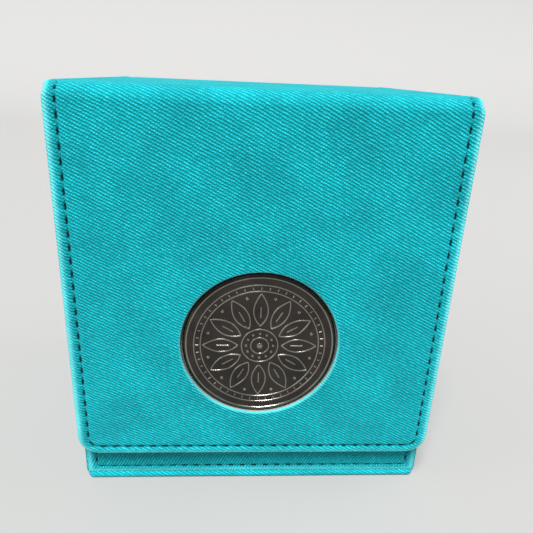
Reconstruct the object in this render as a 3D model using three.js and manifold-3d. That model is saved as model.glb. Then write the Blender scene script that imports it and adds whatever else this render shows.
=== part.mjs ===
// Card deck box: a fabric-covered board tray with a stitched wrap-around cover. The cover's back panel is fixed to
// the tray, the lid folds up from it, and the front flap folds down from the lid and is held by hidden magnets.
// Units are millimetres. +Z is up, the flap faces -Y, and the origin is the centre of the underside.

import * as THREE from 'three';
import { mergeVertices } from 'three/addons/utils/BufferGeometryUtils.js';
import Module from 'manifold-3d';

// ---------------------------------------------------------------- driving dimensions

// Overall sizes
const COVER_WIDTH = 92; // across the cover's wrapped side edges
const DEPTH = 86; // face of the flap to face of the back panel
const HEIGHT = 103; // underside of the base to face of the lid
const TRAY_WIDTH = 90.6; // across the covered side walls of the tray
const BASE_WIDTH = 89.8; // across the base panel
const FLAP_LIFT = 10.8; // floor to lower edge of the flap

// Layers of a panel, from the outside in
const FABRIC = 0.6;
const BOARD = 2;
const BASE_BOARD = 0.5;
const BACKING_BOARD = 0.5; // inner ply of the flap's board, which closes the medallion's hole
const LINING = 0.6;
const GLUE = 0.05; // glue line between two layers
const HEM = 1.6; // how far the turned-in fabric reaches over the inner face, from the panel's edge
const HEM_GAP = 0.2; // between the turned-in fabric and the lining beside it
const TRAY_HEM = 7; // how far the tray's fabric reaches down inside its walls

// Folds and clearances
const FOLD_CLEARANCE = 0.2; // between the inner corners of two panels that meet at a fold
const FOLD_SEAM = 0.05; // between a fold strip and the panels on both sides of it
const FLAP_GAP = 0.25; // inner face of the flap to the tray's front wall
const LID_GAP = 0.3; // inner face of the lid to the tray's rim
const TRAY_SEAT = 0.3; // top of the base panel to the lower edge of the tray's fabric
const BASE_PROUD = 0.15; // how far the base panel's front edge stands in front of the tray

// Corners
const FLAP_CORNER = 5;
const BACK_CORNER = 1.5;
const BASE_CORNER = 2.5;
const TRAY_CORNER = 1.4;

// Medallion, in a round hole through the flap's fabric and face board
const MEDALLION_DIAMETER = 38;
const MEDALLION_CLEARANCE = 0.45; // around its edge, on each side
const MEDALLION_SUNK = 0.5; // how far its face lies below the fabric
const MEDALLION_CHAMFER = 0.2;
const MEDALLION_HEIGHT = 43.1; // centre above the floor
const ADHESIVE = 0.2;
const ADHESIVE_INSET = 2; // how much smaller its radius is than the medallion's

// Closing magnets, in through holes near the flap's lower corners and behind them in the tray's front wall
const MAGNET_DIAMETER = 10;
const MAGNET_CLEARANCE = 0.2;
const MAGNET_SPACING = 68;
const MAGNET_HEIGHT = 19.5;

// Stitching
const THREAD = 0.4;
const GROOVE_WIDTH = 0.8;
const GROOVE_DEPTH = 0.45;
const SIDE_INSET = 2.5; // stitch line to the side edge of the cover
const END_INSET = 2.1; // stitch line to the free edge of the flap or back panel
const TRAY_SIDE_INSET = 2.6; // stitch line to the side edge of the tray's front wall
const TRAY_END_INSET = 1.75; // stitch line to its lower edge and rim
const STITCH_CORNER = 1;

const ROUND_SEGMENTS = 64; // round a full disc
const CORNER_DIVISIONS = 3; // of an outline's corner arc
const FOLD_DIVISIONS = 5; // of a fold's quarter round
const CUT = 1; // how far a cutting solid runs past the face that it opens

// ---------------------------------------------------------------- sizes that follow

const PANEL = FABRIC + GLUE + BOARD + GLUE + LINING;
const BASE_PANEL = FABRIC + GLUE + BASE_BOARD + GLUE + FABRIC;
const FACE_BOARD = BOARD - BACKING_BOARD - GLUE;
const FOLD_RADIUS = PANEL + FOLD_CLEARANCE;

const FRONT = -DEPTH / 2;
const REAR = DEPTH / 2;
const FOLD_BASE = HEIGHT - FOLD_RADIUS; // where the flap and the back panel end and the folds begin

const TRAY_FRONT = FRONT + PANEL + FLAP_GAP;
const TRAY_REAR = REAR - PANEL - GLUE;
const TRAY_BOTTOM = BASE_PANEL + TRAY_SEAT;
const TRAY_RIM = HEIGHT - PANEL - LID_GAP;
const BASE_FRONT = TRAY_FRONT - BASE_PROUD;

// ---------------------------------------------------------------- materials

const material = (color, roughness, metalness = 0) => new THREE.MeshStandardMaterial({ color, roughness, metalness });
const FABRIC_FINISH = material(0x1eabb4, 0.85);
const LINING_FINISH = material(0x3a3d40, 0.95);
const THREAD_FINISH = material(0x2ab9c2, 0.6);
const BOARD_FINISH = material(0x8c857a, 0.9);
const MAGNET_FINISH = material(0xb9bcc0, 0.25, 1);
const MEDALLION_FINISH = material(0x4b4744, 0.15, 1);
const ADHESIVE_FINISH = material(0xd8d2c0, 0.7);

// ---------------------------------------------------------------- solids

const wasm = await Module();
wasm.setup();

// A closed geometry as a solid that can be joined and cut.
function solid(geometry) {
  const bare = geometry.index ? geometry.toNonIndexed() : geometry.clone();
  bare.deleteAttribute('normal');
  bare.deleteAttribute('uv');
  const merged = mergeVertices(bare, 1e-4);
  const vertProperties = merged.attributes.position.array;
  const triVerts = new Uint32Array(merged.index.array);
  return new wasm.Manifold(new wasm.Mesh({ numProp: 3, vertProperties, triVerts }));
}

function meshOf(name, body, finish) {
  const { vertProperties, triVerts } = body.getMesh();
  const geometry = new THREE.BufferGeometry();
  geometry.setAttribute('position', new THREE.BufferAttribute(vertProperties, 3));
  geometry.setIndex(new THREE.BufferAttribute(triVerts, 1));
  geometry.computeVertexNormals();
  const mesh = new THREE.Mesh(geometry, finish);
  mesh.name = name;
  return mesh;
}

// A flat outline made solid between two heights.
function slab(shape, low, high) {
  const options = { depth: high - low, bevelEnabled: false, curveSegments: CORNER_DIVISIONS };
  return solid(new THREE.ExtrudeGeometry(shape, options).translate(0, 0, low));
}

// A rectangle with one corner radius at its lower end and one at its upper end.
function rectangle(left, low, right, high, lowRadius = 0, highRadius = lowRadius) {
  const shape = new THREE.Shape();
  shape.moveTo(left + lowRadius, low);
  shape.lineTo(right - lowRadius, low);
  if (lowRadius > 0) shape.absarc(right - lowRadius, low + lowRadius, lowRadius, -Math.PI / 2, 0);
  shape.lineTo(right, high - highRadius);
  if (highRadius > 0) shape.absarc(right - highRadius, high - highRadius, highRadius, 0, Math.PI / 2);
  shape.lineTo(left + highRadius, high);
  if (highRadius > 0) shape.absarc(left + highRadius, high - highRadius, highRadius, Math.PI / 2, Math.PI);
  shape.lineTo(left, low + lowRadius);
  if (lowRadius > 0) shape.absarc(left + lowRadius, low + lowRadius, lowRadius, Math.PI, 1.5 * Math.PI);
  return shape;
}

// A round plate on the line x, y, between two heights.
function disc(radius, x, y, low, high) {
  const plate = new THREE.CylinderGeometry(radius, radius, high - low, ROUND_SEGMENTS);
  return solid(plate.rotateX(Math.PI / 2).translate(x, y, (low + high) / 2));
}

// ---------------------------------------------------------------- panels
// A panel lies in its own frame: X across it, Y along the cover, the outer face at Z = 0 and the inner one below it.
// { width, length, corner, freeStart, freeEnd } says which ends are wrapped free edges; the others are folds.

// The panel's outline, drawn in by `side` at its sides and by `end` at its free ends, and moved out by `reach`
// at its folds.
function outline(panel, side, end = side, reach = 0) {
  const half = panel.width / 2 - side;
  const low = panel.freeStart ? end : -reach;
  const high = panel.freeEnd ? panel.length - end : panel.length + reach;
  const corner = Math.max(panel.corner - Math.max(side, end), 0);
  return rectangle(-half, low, half, high, panel.freeStart ? corner : 0, panel.freeEnd ? corner : 0);
}

// Outer fabric: the face, its wrapped edges and the turned-in hem, open at the folds.
function panelFabric(panel, thickness, innerLayer) {
  const whole = slab(outline(panel, 0), -thickness, 0);
  const boardSpace = slab(outline(panel, FABRIC, FABRIC, CUT), innerLayer - thickness, -FABRIC);
  const liningSpace = slab(outline(panel, HEM, HEM, CUT), -thickness - CUT, innerLayer - thickness + GLUE);
  return whole.subtract(boardSpace).subtract(liningSpace);
}

function panelBoard(panel, low, high) {
  const shape = outline(panel, FABRIC + GLUE, FABRIC + GLUE, -LINING - GLUE);
  return slab(shape, low, high);
}

// Lining: the inner face, turned up over the end of the board at each fold.
function panelLining(panel) {
  const half = panel.width / 2 - HEM - HEM_GAP;
  const sheet = slab(outline(panel, HEM + HEM_GAP), -PANEL, LINING - PANEL);
  const turn = (low) => slab(rectangle(-half, low, half, low + LINING), -PANEL, -FABRIC - GLUE);
  let lining = sheet;
  if (!panel.freeStart) lining = lining.add(turn(0));
  if (!panel.freeEnd) lining = lining.add(turn(panel.length - LINING));
  return lining;
}

// A band that follows the stitch line round the panel's sides and free ends.
function stitchBand(panel, side, end, width, low, high) {
  const outer = slab(outline(panel, side - width / 2, end - width / 2), low, high);
  const inner = slab(outline(panel, side + width / 2, end + width / 2, CUT), low - CUT, high + CUT);
  return outer.subtract(inner);
}

const THREAD_TOP = THREAD - GROOVE_DEPTH + GLUE / 2;
const THREAD_LOW = THREAD_TOP - THREAD;
const grooveOf = (panel, side, end) => stitchBand(panel, side, end, GROOVE_WIDTH, -GROOVE_DEPTH, CUT);
const threadOf = (panel, side, end) => stitchBand(panel, side, end, THREAD, THREAD_LOW, THREAD_TOP);

// The panel's frame in the box: `turn` is about X.
function place(meshes, turn, y, z) {
  const group = new THREE.Group();
  group.rotation.x = turn;
  group.position.set(0, y, z);
  group.add(...meshes);
  return group;
}

// ---------------------------------------------------------------- flap

const flap = { width: COVER_WIDTH, length: FOLD_BASE - FLAP_LIFT, corner: FLAP_CORNER, freeStart: true };

function makeFlap() {
  const holeRadius = MEDALLION_DIAMETER / 2 + MEDALLION_CLEARANCE;
  const centre = MEDALLION_HEIGHT - FLAP_LIFT;
  const faceLow = -FABRIC - GLUE - FACE_BOARD;
  const backingHigh = faceLow - GLUE;
  const adhesiveLow = backingHigh + GLUE;
  const medallionLow = adhesiveLow + ADHESIVE + GLUE;
  const magnetY = MAGNET_HEIGHT - FLAP_LIFT;
  const magnetXs = { left: -MAGNET_SPACING / 2, right: MAGNET_SPACING / 2 };

  const hole = disc(holeRadius, 0, centre, -PANEL, CUT);
  const fabric = panelFabric(flap, PANEL, LINING).subtract(grooveOf(flap, SIDE_INSET, END_INSET));
  let faceBoard = panelBoard(flap, faceLow, -FABRIC - GLUE).subtract(hole);
  const magnets = Object.entries(magnetXs).map(([side, x]) => {
    const pocket = disc(MAGNET_DIAMETER / 2 + MAGNET_CLEARANCE, x, magnetY, -PANEL, CUT);
    faceBoard = faceBoard.subtract(pocket);
    const magnet = disc(MAGNET_DIAMETER / 2, x, magnetY, faceLow, -FABRIC - GLUE);
    return meshOf(`flap_magnet_${side}`, magnet, MAGNET_FINISH);
  });

  const radius = MEDALLION_DIAMETER / 2;
  const profile = [
    [0, medallionLow],
    [radius, medallionLow],
    [radius, -MEDALLION_SUNK - MEDALLION_CHAMFER],
    [radius - MEDALLION_CHAMFER, -MEDALLION_SUNK],
    [0, -MEDALLION_SUNK],
  ].map(([r, z]) => new THREE.Vector2(r, z));
  const turned = new THREE.LatheGeometry(profile, ROUND_SEGMENTS).rotateX(Math.PI / 2).translate(0, centre, 0);
  const adhesive = disc(radius - ADHESIVE_INSET, 0, centre, adhesiveLow, adhesiveLow + ADHESIVE);

  return place(
    [
      meshOf('flap_fabric', fabric.subtract(hole), FABRIC_FINISH),
      meshOf('flap_face_board', faceBoard, BOARD_FINISH),
      meshOf('flap_backing_board', panelBoard(flap, backingHigh - BACKING_BOARD, backingHigh), BOARD_FINISH),
      meshOf('flap_lining', panelLining(flap), LINING_FINISH),
      meshOf('flap_stitching', threadOf(flap, SIDE_INSET, END_INSET), THREAD_FINISH),
      meshOf('medallion', solid(turned), MEDALLION_FINISH),
      meshOf('medallion_adhesive', adhesive, ADHESIVE_FINISH),
      ...magnets,
    ],
    Math.PI / 2,
    FRONT,
    FLAP_LIFT,
  );
}

// ---------------------------------------------------------------- lid

const lid = { width: COVER_WIDTH, length: DEPTH - 2 * FOLD_RADIUS };
const STITCH_LINES = { left: -COVER_WIDTH / 2 + SIDE_INSET, right: COVER_WIDTH / 2 - SIDE_INSET };

// A straight length of stitching, or of its groove, that runs along the cover.
function rail(x, width, low, high) {
  return slab(rectangle(x - width / 2, 0, x + width / 2, lid.length), low, high);
}

function makeLid() {
  let fabric = panelFabric(lid, PANEL, LINING);
  const threads = Object.entries(STITCH_LINES).map(([side, x]) => {
    fabric = fabric.subtract(rail(x, GROOVE_WIDTH, -GROOVE_DEPTH, CUT));
    return meshOf(`lid_stitching_${side}`, rail(x, THREAD, THREAD_LOW, THREAD_TOP), THREAD_FINISH);
  });
  const boardHigh = -FABRIC - GLUE;
  return place(
    [
      meshOf('lid_fabric', fabric, FABRIC_FINISH),
      meshOf('lid_board', panelBoard(lid, boardHigh - BOARD, boardHigh), BOARD_FINISH),
      meshOf('lid_lining', panelLining(lid), LINING_FINISH),
      ...threads,
    ],
    0,
    FRONT + FOLD_RADIUS,
    HEIGHT,
  );
}

// ---------------------------------------------------------------- back and base panels

const back = { width: COVER_WIDTH, length: FOLD_BASE - TRAY_BOTTOM, corner: BACK_CORNER, freeEnd: true };
const base = {
  width: BASE_WIDTH,
  length: REAR - BASE_FRONT,
  corner: BASE_CORNER,
  freeStart: true,
  freeEnd: true,
};

function makeBack() {
  const boardHigh = -FABRIC - GLUE;
  const fabric = panelFabric(back, PANEL, LINING).subtract(grooveOf(back, SIDE_INSET, END_INSET));
  return place(
    [
      meshOf('back_fabric', fabric, FABRIC_FINISH),
      meshOf('back_board', panelBoard(back, boardHigh - BOARD, boardHigh), BOARD_FINISH),
      meshOf('back_lining', panelLining(back), LINING_FINISH),
      meshOf('back_stitching', threadOf(back, SIDE_INSET, END_INSET), THREAD_FINISH),
    ],
    -Math.PI / 2,
    REAR,
    FOLD_BASE,
  );
}

function makeBase() {
  const boardHigh = -FABRIC - GLUE;
  return place(
    [
      meshOf('base_fabric', panelFabric(base, BASE_PANEL, FABRIC), FABRIC_FINISH),
      meshOf('base_board', panelBoard(base, boardHigh - BASE_BOARD, boardHigh), BOARD_FINISH),
    ],
    Math.PI,
    REAR,
    0,
  );
}

// ---------------------------------------------------------------- folds
// Between two panels the cover has no board: the lining is glued to the back of the fabric, in a quarter round.

const FOLD_AXES = new THREE.Matrix4().makeBasis(
  new THREE.Vector3(0, 1, 0),
  new THREE.Vector3(0, 0, 1),
  new THREE.Vector3(1, 0, 0),
);

// A quarter of a ring along X, from one end to the other, with both of its cut faces drawn in by `trim`.
function quarter(fold, inner, outer, from, to, trim) {
  const drawnIn = trim / FOLD_RADIUS;
  const start = fold.start + drawnIn;
  const end = fold.start + Math.PI / 2 - drawnIn;
  const shape = new THREE.Shape();
  shape.absarc(0, 0, outer, start, end);
  shape.absarc(0, 0, inner, end, start, true);
  const options = { depth: to - from, bevelEnabled: false, curveSegments: FOLD_DIVISIONS };
  const ring = new THREE.ExtrudeGeometry(shape, options).translate(0, 0, from).applyMatrix4(FOLD_AXES);
  return solid(ring.translate(0, fold.y, FOLD_BASE));
}

function makeFold(name, fold) {
  const half = COVER_WIDTH / 2;
  const liningOuter = FOLD_RADIUS - FABRIC - GLUE;
  const liningInner = liningOuter - LINING;
  const window = quarter(fold, liningInner - CUT, FOLD_RADIUS - FABRIC, HEM - half, half - HEM, -CUT);
  let fabric = quarter(fold, liningInner, FOLD_RADIUS, -half, half, FOLD_SEAM).subtract(window);
  const liningHalf = half - HEM - HEM_GAP;
  const lining = quarter(fold, liningInner, liningOuter, -liningHalf, liningHalf, FOLD_SEAM);
  const threads = Object.entries(STITCH_LINES).map(([side, x]) => {
    const [grooveFrom, grooveTo] = [x - GROOVE_WIDTH / 2, x + GROOVE_WIDTH / 2];
    const groove = quarter(fold, FOLD_RADIUS - GROOVE_DEPTH, FOLD_RADIUS + CUT, grooveFrom, grooveTo, -CUT);
    fabric = fabric.subtract(groove);
    const [inner, outer] = [FOLD_RADIUS + THREAD_LOW, FOLD_RADIUS + THREAD_TOP];
    const thread = quarter(fold, inner, outer, x - THREAD / 2, x + THREAD / 2, FOLD_SEAM);
    return meshOf(`${name}_stitching_${side}`, thread, THREAD_FINISH);
  });
  const group = new THREE.Group();
  group.add(
    meshOf(`${name}_fabric`, fabric, FABRIC_FINISH),
    meshOf(`${name}_lining`, lining, LINING_FINISH),
    ...threads,
  );
  return group;
}

// ---------------------------------------------------------------- tray

// An upright box between two corners, with round vertical edges.
function upright(left, front, right, rear, low, high, radius = 0) {
  return slab(rectangle(left, front, right, rear, radius), low, high);
}

// The tray's plan, drawn in by `inset`, between two heights.
function trayPlan(inset, low, high, radius = 0) {
  const half = TRAY_WIDTH / 2 - inset;
  return upright(-half, TRAY_FRONT + inset, half, TRAY_REAR - inset, low, high, radius);
}

function makeTray() {
  const boardOut = FABRIC + GLUE;
  const boardIn = boardOut + BOARD;
  const liningOut = boardIn + GLUE;
  const wall = liningOut + LINING;
  const half = TRAY_WIDTH / 2;
  const boardBottom = BASE_PANEL + GLUE;
  const boardTop = TRAY_RIM - FABRIC - GLUE;
  const floorTop = boardBottom + BOARD;
  const liningTop = TRAY_RIM - TRAY_HEM - HEM_GAP;
  const cavityFloor = floorTop + GLUE + LINING;

  const fabric = trayPlan(0, TRAY_BOTTOM, TRAY_RIM, TRAY_CORNER)
    .subtract(trayPlan(FABRIC, TRAY_BOTTOM - CUT, TRAY_RIM - FABRIC))
    .subtract(trayPlan(wall, TRAY_BOTTOM - CUT, TRAY_RIM + CUT));
  const hem = trayPlan(liningOut, TRAY_RIM - TRAY_HEM, TRAY_RIM).subtract(
    trayPlan(wall, TRAY_RIM - TRAY_HEM - CUT, TRAY_RIM + CUT),
  );

  // The front wall's own frame, for its stitching.
  const frontWall = {
    width: TRAY_WIDTH,
    length: TRAY_RIM - TRAY_BOTTOM,
    corner: TRAY_SIDE_INSET + STITCH_CORNER,
    freeStart: true,
    freeEnd: true,
  };
  const toWall = (body) => body.rotate([90, 0, 0]).translate([0, TRAY_FRONT, TRAY_BOTTOM]);
  const groove = toWall(grooveOf(frontWall, TRAY_SIDE_INSET, TRAY_END_INSET));
  const thread = toWall(threadOf(frontWall, TRAY_SIDE_INSET, TRAY_END_INSET));

  // Side boards run the full depth; the front and rear boards stand between them.
  const endHalf = half - boardIn - GLUE;
  const front = TRAY_FRONT + boardOut;
  const rear = TRAY_REAR - boardOut;
  let frontBoard = upright(-endHalf, front, endHalf, front + BOARD, boardBottom, boardTop);
  const magnets = Object.entries({ left: -1, right: 1 }).map(([side, sign]) => {
    const at = (radius, from, to) =>
      disc(radius, 0, 0, from, to).rotate([90, 0, 0]).translate([(sign * MAGNET_SPACING) / 2, front, MAGNET_HEIGHT]);
    frontBoard = frontBoard.subtract(at(MAGNET_DIAMETER / 2 + MAGNET_CLEARANCE, -BOARD - CUT, CUT));
    return meshOf(`tray_magnet_${side}`, at(MAGNET_DIAMETER / 2, -BOARD, 0), MAGNET_FINISH);
  });
  const boards = {
    front: frontBoard,
    rear: upright(-endHalf, rear - BOARD, endHalf, rear, boardBottom, boardTop),
    left: upright(boardOut - half, front, boardIn - half, rear, boardBottom, boardTop),
    right: upright(half - boardIn, front, half - boardOut, rear, boardBottom, boardTop),
    floor: trayPlan(boardIn + GLUE, boardBottom, floorTop),
  };

  // The floor's lining goes in first, then the front and rear ones, then the two at the sides.
  const outHalf = half - liningOut;
  const inHalf = half - wall;
  const [liningFront, liningRear] = [TRAY_FRONT + liningOut, TRAY_REAR - liningOut];
  const wallLow = cavityFloor + GLUE;
  const linings = {
    front: upright(-outHalf, liningFront, outHalf, liningFront + LINING, wallLow, liningTop),
    rear: upright(-outHalf, liningRear - LINING, outHalf, liningRear, wallLow, liningTop),
    left: upright(-outHalf, TRAY_FRONT + wall + GLUE, -inHalf, TRAY_REAR - wall - GLUE, wallLow, liningTop),
    right: upright(inHalf, TRAY_FRONT + wall + GLUE, outHalf, TRAY_REAR - wall - GLUE, wallLow, liningTop),
    floor: trayPlan(liningOut, floorTop + GLUE, cavityFloor),
  };

  const group = new THREE.Group();
  group.add(
    meshOf('tray_fabric', fabric.add(hem).subtract(groove), FABRIC_FINISH),
    meshOf('tray_stitching', thread, THREAD_FINISH),
    ...Object.entries(boards).map(([side, body]) => meshOf(`tray_${side}_board`, body, BOARD_FINISH)),
    ...Object.entries(linings).map(([side, body]) => meshOf(`tray_${side}_lining`, body, LINING_FINISH)),
    ...magnets,
  );
  return group;
}

// ---------------------------------------------------------------- the box

const box = new THREE.Group();
box.add(
  makeBase(),
  makeTray(),
  makeBack(),
  makeFold('rear_fold', { y: REAR - FOLD_RADIUS, start: 0 }),
  makeLid(),
  makeFold('front_fold', { y: FRONT + FOLD_RADIUS, start: Math.PI / 2 }),
  makeFlap(),
);

export default box;
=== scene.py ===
"""A card deck box in turquoise twill cloth: a covered board tray, and a stitched cover that folds over it.

Cloth is made flat and then folded up. A flat pattern has x across the panel, s along it and h out of its
face, all in millimetres, and a fold_up function carries its points into the box's frame, in metres.
"""

import math

import bpy
import numpy as np
from mathutils import Matrix, Vector


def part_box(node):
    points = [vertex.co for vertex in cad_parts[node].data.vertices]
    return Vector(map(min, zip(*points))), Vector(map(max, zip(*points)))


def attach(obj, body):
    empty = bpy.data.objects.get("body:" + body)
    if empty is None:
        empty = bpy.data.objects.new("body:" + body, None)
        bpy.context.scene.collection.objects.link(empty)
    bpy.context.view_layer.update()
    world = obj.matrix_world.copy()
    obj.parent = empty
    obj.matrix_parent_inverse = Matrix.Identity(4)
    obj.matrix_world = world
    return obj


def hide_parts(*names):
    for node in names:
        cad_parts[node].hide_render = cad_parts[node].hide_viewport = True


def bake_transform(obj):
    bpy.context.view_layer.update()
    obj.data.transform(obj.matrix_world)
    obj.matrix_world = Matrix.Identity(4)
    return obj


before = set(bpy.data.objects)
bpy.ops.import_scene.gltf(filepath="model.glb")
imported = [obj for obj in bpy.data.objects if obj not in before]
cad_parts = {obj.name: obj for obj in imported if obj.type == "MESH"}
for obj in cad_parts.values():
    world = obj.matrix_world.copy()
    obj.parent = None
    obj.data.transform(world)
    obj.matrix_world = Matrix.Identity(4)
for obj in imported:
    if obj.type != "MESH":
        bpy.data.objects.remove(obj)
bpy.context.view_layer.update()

# ---------------------------------------------------------------------------------------------------------
# The camera stands close in front of the flap, a little left of the middle and just above the lid, and
# looks down at the medallion. It is turned a little about its own axis, as a camera held by hand is.

STAND_OFF = 0.10959
ABOVE_LID = 0.00286
LEFT_OF_MIDDLE = 0.00696
LENS = 34.33
LOOKS_RIGHT, LOOKS_DOWN, TILT = (math.radians(angle) for angle in (4.0515, 20.728, 2.519))



def new_object(name, data):
    """A new object in the scene."""
    made = bpy.data.objects.new(name, data)
    bpy.context.scene.collection.objects.link(made)
    return made


camera = new_object("camera", bpy.data.cameras.new("camera"))
bpy.context.scene.camera = camera
camera.data.lens = LENS
camera.data.clip_start = 0.005
front_of_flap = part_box("flap_fabric")[0].y
top_of_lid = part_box("lid_fabric")[1].z
camera.location = (-LEFT_OF_MIDDLE, front_of_flap - STAND_OFF, top_of_lid + ABOVE_LID)
aim = Matrix.Rotation(-LOOKS_RIGHT, 3, "Z") @ Matrix.Rotation(math.pi / 2 - LOOKS_DOWN, 3, "X")
camera.rotation_euler = (aim @ Matrix.Rotation(TILT, 3, "Z")).to_euler()
bpy.context.scene.view_settings.view_transform = "Standard"

# ---------------------------------------------------------------------------------------------------------
# The base panel is a thin board, wrapped in the outer cloth and glued under the tray. The cloth is
# suede-like, with a fine twill pressed into it: slanting ribs of short round yarns, and a nap. Its colour is
# painted darker in the twill's hollows and paler on its tops, as painted shade and painted highlight on the
# relief. It is paler along the edges, which is partly wear on the nap and partly painted sheen.

RIB_PITCH = 0.71
YARN_PITCH = 0.585
RIB_SLANT = math.radians(27)
YARN_SLANT = math.radians(49.5)
# The cloth's own colour, then a darker and a paler copy of it: painted shade in the twill's hollows and
# painted highlight on its tops.
CLOTH_COLOUR = (0.003, 0.44, 0.5, 1)
CLOTH_VALLEY_SHADE = (0.001, 0.19, 0.22, 1)
CLOTH_TOP_HIGHLIGHT = (0.075, 0.82, 0.86, 1)
# The pale edge colour: partly wear on the nap, partly painted sheen where the edge turns to the light.
CLOTH_WEAR_AND_SHEEN = (0.2, 0.84, 0.86, 1)


def add_node(tree, kind, inputs=(), **settings):
    """A new node with its settings made and its inputs linked to a socket or set to a value."""
    node = tree.nodes.new(kind)
    for name, value in settings.items():
        setattr(node, name, value)
    for name, value in dict(inputs).items():
        if isinstance(value, bpy.types.NodeSocket):
            tree.links.new(value, node.inputs[name])
        else:
            node.inputs[name].default_value = value
    return node


def maths(tree, operation, *values):
    """The result of one arithmetic node, with its inputs filled in order."""
    return add_node(tree, "ShaderNodeMath", dict(enumerate(values)), operation=operation).outputs[0]


def noise(tree, place, scale, detail=2.0, roughness=0.5):
    """Cloudy values round a half."""
    inputs = {"Vector": place, "Scale": scale, "Detail": detail, "Roughness": roughness}
    return add_node(tree, "ShaderNodeTexNoise", inputs).outputs["Fac"]


def spread(tree, value, low, high, to_low=0.0, to_high=1.0):
    """The value's range from low to high, eased to another range."""
    inputs = {"Value": value, "From Min": low, "From Max": high, "To Min": to_low, "To Max": to_high}
    return add_node(tree, "ShaderNodeMapRange", inputs, interpolation_type="SMOOTHSTEP").outputs["Result"]


def mix_colours(tree, share, first, second):
    """The first colour, with a share of the second mixed in."""
    mixed = add_node(tree, "ShaderNodeMix", data_type="RGBA")
    for name, value in (("Factor", share), ("A", first), ("B", second)):
        socket = next(s for s in mixed.inputs if s.name == name and s.enabled)
        if isinstance(value, bpy.types.NodeSocket):
            tree.links.new(value, socket)
        else:
            socket.default_value = value
    return next(s for s in mixed.outputs if s.enabled)


def shader_group(name, inputs, outputs):
    """An empty shader node group with its sockets, its input node and its output node."""
    group = bpy.data.node_groups.new(name, "ShaderNodeTree")
    for socket, kind, value in inputs:
        made = group.interface.new_socket(socket, in_out="INPUT", socket_type=kind)
        if value is not None:
            made.default_value = value
    for socket in outputs:
        group.interface.new_socket(socket, in_out="OUTPUT", socket_type="NodeSocketFloat")
    return group, group.nodes.new("NodeGroupInput"), group.nodes.new("NodeGroupOutput")


def twill_group():
    """Height, nap and soft mottling of the pressed twill, at a place on the cloth in millimetres. The nap
    output also carries the relief, which the cloth paints as highlight and shade.
    """
    number = "NodeSocketFloat"
    group, given, result = shader_group(
        "twill",
        [
            ("Place", "NodeSocketVector", None),
            ("Rib Pitch", number, RIB_PITCH),
            ("Yarn Pitch", number, YARN_PITCH),
            ("Wander", number, 0.55),
        ],
        ["Height", "Nap And Relief Light", "Mottle"],
    )
    place = given.outputs["Place"]
    wander = maths(group, "SUBTRACT", noise(group, place, 0.21, 3.0, 0.6), 0.5)
    wander = maths(group, "MULTIPLY", wander, given.outputs["Wander"])
    jitter = maths(group, "SUBTRACT", noise(group, place, 1.5, 2.0, 0.6), 0.5)
    jitter = maths(group, "MULTIPLY", jitter, 0.45)
    slip = maths(group, "ADD", wander, jitter)

    def wave(slant, pitch, sign):
        """A wave from 0 to 1 across lines at a slant, which wander a little."""
        across = (sign * math.sin(slant), math.cos(slant), 0.0)
        product = add_node(group, "ShaderNodeVectorMath", {0: place, 1: across}, operation="DOT_PRODUCT")
        line = maths(group, "ADD", product.outputs["Value"], slip)
        angle = maths(group, "MULTIPLY", maths(group, "DIVIDE", line, pitch), 2 * math.pi)
        return maths(group, "MULTIPLY_ADD", maths(group, "COSINE", angle), 0.5, 0.5)

    rib = maths(group, "POWER", wave(RIB_SLANT, given.outputs["Rib Pitch"], 1), 0.8)
    yarn = wave(YARN_SLANT, given.outputs["Yarn Pitch"], -1)
    along_rib = add_node(group, "ShaderNodeMapping", {"Vector": place, "Rotation": (0, 0, RIB_SLANT)})
    drawn_out = {0: along_rib.outputs["Vector"], 1: (0.75, 2.4, 1.0)}
    drawn_out = add_node(group, "ShaderNodeVectorMath", drawn_out, operation="MULTIPLY").outputs["Vector"]
    streak = spread(group, noise(group, drawn_out, 1.0, 2.0, 0.6), 0.3, 0.7)
    fuzz = noise(group, place, 6.5, 3.0, 0.65)
    mottle = noise(group, place, 0.075, 3.0, 0.55)
    broken = maths(group, "MULTIPLY", rib, spread(group, yarn, 0.0, 0.75, 0.6, 1.0))
    broken = maths(group, "MULTIPLY", broken, maths(group, "MULTIPLY_ADD", streak, 0.6, 0.5))
    height = maths(group, "ADD", broken, maths(group, "MULTIPLY", fuzz, 0.5))
    # The nap's own fuzz, plus the relief, which the cloth paints as shade in its hollows and highlight on
    # its tops.
    nap_and_relief_light = maths(group, "MULTIPLY_ADD", maths(group, "SUBTRACT", fuzz, 0.5), 0.9, broken)
    for name, value in (("Height", height), ("Nap And Relief Light", nap_and_relief_light), ("Mottle", mottle)):
        group.links.new(value, result.inputs[name])
    return group


TWILL = twill_group()


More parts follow.
